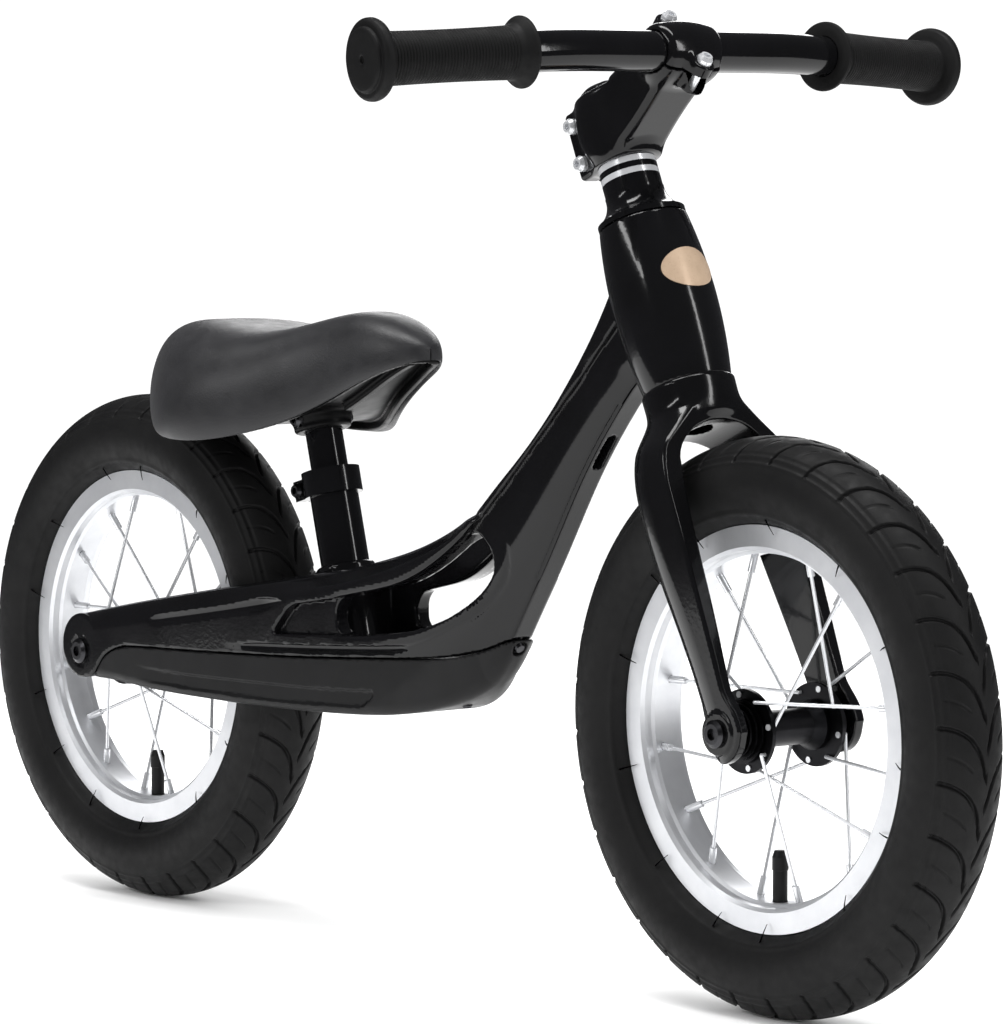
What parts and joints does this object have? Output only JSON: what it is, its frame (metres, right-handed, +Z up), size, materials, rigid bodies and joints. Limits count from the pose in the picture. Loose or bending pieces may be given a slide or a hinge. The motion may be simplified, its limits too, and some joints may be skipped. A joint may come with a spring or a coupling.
{
  "type": "balance bike",
  "caption": "Child's balance bike with pneumatic tyres on spoked wheels, a cast alloy frame with a plastic footrest cover, a padded saddle on a sliding post and a straight steerable bar.",
  "frame": {"origin": "on the ground, half way between the two wheel axles, in the bike's middle plane", "axes": "+X forward along the bike, +Y to the rider's left, +Z up"},
  "size_m": [0.8799, 0.4134, 0.5354],
  "materials": {
    "tyre_rubber": "matt moulded rubber",
    "inner_rubber": "matt",
    "rim_alloy": "satin silver",
    "hub_black": "satin black anodised",
    "bright_steel": "bright zinc",
    "dark_steel": "black oxide",
    "valve_black": "satin",
    "gloss_frame": "gloss black paint over cast alloy",
    "gloss_fork": "gloss black paint over alloy",
    "gloss_steel": "gloss black paint",
    "badge": "satin copper foil",
    "cover_plastic": "fine moulded grain",
    "grip_rubber": "matt",
    "saddle_leatherette": "satin grained leatherette",
    "gloss_plastic": "polished"
  },
  "bodies": {
    "frame": {"main_frame": "gloss_frame", "head_badge": "badge", "footrest_cover": "cover_plastic", "cover_screws": "dark_steel", "upper_head_cup": "bright_steel", "lower_head_cup": "bright_steel", "upper_head_bearing": "bright_steel", "lower_head_bearing": "bright_steel", "seat_tube": "gloss_frame", "seat_clamp": "gloss_frame", "seat_clamp_bolt": "dark_steel", "rear_axle": "dark_steel", "rear_axle_spacers": "hub_black", "rear_axle_bolts": "dark_steel"},
    "steering": {"fork": "gloss_fork", "steerer_tube": "dark_steel", "crown_race": "dark_steel", "headset_top_cover": "gloss_fork", "headset_spacers_black": "gloss_fork", "headset_spacers_silver": "bright_steel", "stem": "gloss_fork", "stem_faceplate": "gloss_fork", "faceplate_bolts": "bright_steel", "stem_pinch_bolts": "bright_steel", "stem_top_cap": "gloss_fork", "top_cap_bolt": "dark_steel", "front_axle": "dark_steel", "front_axle_spacers": "hub_black", "front_axle_bolts": "dark_steel"},
    "bars": {"handlebar": "gloss_steel", "left_grip": "grip_rubber", "right_grip": "grip_rubber"},
    "front_wheel": {"front_tyre": "tyre_rubber", "front_inner_tube": "inner_rubber", "front_rim_tape": "inner_rubber", "front_rim": "rim_alloy", "front_hub": "hub_black", "front_hub_bearings": "bright_steel", "front_spokes": "bright_steel", "front_spoke_nipples": "bright_steel", "front_valve": "valve_black", "front_valve_cap": "valve_black"},
    "rear_wheel": {"rear_tyre": "tyre_rubber", "rear_inner_tube": "inner_rubber", "rear_rim_tape": "inner_rubber", "rear_rim": "rim_alloy", "rear_hub": "hub_black", "rear_hub_bearings": "bright_steel", "rear_spokes": "bright_steel", "rear_spoke_nipples": "bright_steel", "rear_valve": "valve_black", "rear_valve_cap": "valve_black"},
    "seat": {"seat_post": "gloss_steel", "saddle_base": "gloss_plastic", "saddle_padding": "saddle_leatherette", "saddle_bolts": "dark_steel"}
  },
  "joints": [
    {"name": "steer", "type": "hinge", "parent": "frame", "child": "steering", "pos_m": [0.285, 0, 0.155], "axis": [-0.3907, 0, 0.9205], "range_deg": [-90, 90]},
    {"name": "front_wheel_spin", "type": "hinge", "parent": "steering", "child": "front_wheel", "pos_m": [0.285, 0, 0.155], "axis": [0, 1, 0], "continuous": true},
    {"name": "rear_wheel_spin", "type": "hinge", "parent": "frame", "child": "rear_wheel", "pos_m": [-0.285, 0, 0.155], "axis": [0, 1, 0], "continuous": true},
    {"name": "seat_height", "type": "slide", "parent": "frame", "child": "seat", "axis": [-0.2588, 0, 0.9659], "range_m": [-0.004, 0.045]},
    {"name": "bar_tilt", "type": "hinge", "parent": "steering", "child": "bars", "pos_m": [0.203, 0, 0.513], "axis": [0, 1, 0], "range_deg": [-15, 15]}
  ]
}
